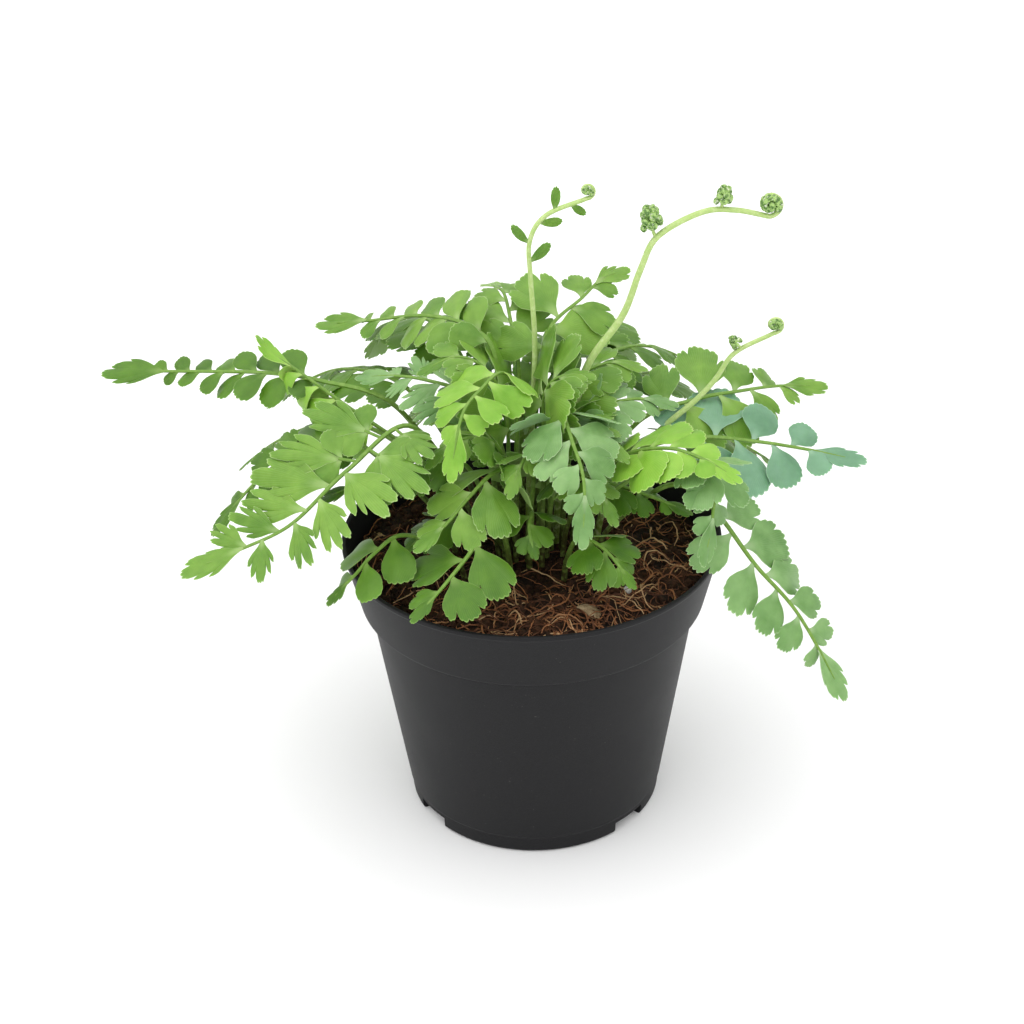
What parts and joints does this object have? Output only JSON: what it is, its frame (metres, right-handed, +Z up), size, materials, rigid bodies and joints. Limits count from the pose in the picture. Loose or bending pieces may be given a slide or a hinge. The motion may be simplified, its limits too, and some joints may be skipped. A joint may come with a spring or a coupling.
{
  "type": "potted fern",
  "caption": "Low mound of arching divided fern fronds with upright coiled young tips, growing in a round tapered nursery pot filled with fibrous soil.",
  "frame": {"origin": "on the ground, at the centre of the pot's base", "axes": "+Z up, +X along the plant's widest spread, -Y towards the viewer's side, where the soil shows"},
  "size_m": [0.2412, 0.1716, 0.2109],
  "materials": {
    "pot_plastic": "satin black moulded polypropylene",
    "soil": "moist dark peat with orange-brown coir fibres",
    "rhizome": "dark brown and scaly",
    "leaf": "satin mid green leaf with fine fanned veins",
    "blue_green_leaf": "matt blue-green leaf with a waxy bloom",
    "young_leaf": "glossy yellow-green young leaf",
    "young_stalk": "pale green stalk with a scaly coiled tip",
    "perlite": "white and rough",
    "dead_leaf": "dry tan-grey"
  },
  "bodies": {
    "root": {"pot": "pot_plastic", "soil": "soil", "rhizome": "rhizome", "frond_left_long": "leaf", "frond_left_far": "leaf", "frond_left_curled": "young_leaf", "frond_left_high": "leaf", "frond_crown_top": "leaf", "frond_crown_back": "leaf", "frond_right_back": "leaf", "frond_centre_bright": "young_leaf", "frond_centre_fan": "young_leaf", "frond_front_centre": "blue_green_leaf", "frond_front_left": "leaf", "frond_front_rim": "leaf", "frond_left_rim": "leaf", "frond_right_bright": "young_leaf", "frond_right_trailing": "blue_green_leaf", "frond_right_nodding": "blue_green_leaf", "frond_right_blue": "blue_green_leaf", "frond_right_high": "leaf", "frond_left_blue": "blue_green_leaf", "frond_left_dark": "leaf", "frond_left_middle": "leaf", "frond_front_right_rim": "leaf", "frond_front_inner": "leaf", "frond_right_inner": "leaf", "frond_centre_right": "blue_green_leaf", "frond_rear_right": "leaf", "frond_rear_middle": "leaf", "frond_rear_left": "leaf", "frond_rear_far_left": "leaf", "frond_rear_far_right": "leaf", "frond_right_low": "leaf", "frond_rear_low_left": "leaf", "frond_rear_low_right": "leaf", "frond_rear_low_middle": "leaf", "frond_inner_left": "leaf", "frond_inner_front": "leaf", "frond_inner_front_right": "leaf", "frond_inner_left_back": "leaf", "frond_inner_back": "leaf", "frond_inner_low_left": "leaf", "frond_crown_left": "leaf", "frond_crown_right": "leaf", "frond_crown_front": "leaf", "crozier_tall": "young_stalk", "crozier_left": "young_stalk", "crozier_right": "young_stalk", "perlite_grain": "perlite", "dead_leaf_flake": "dead_leaf"}
  },
  "joints": []
}
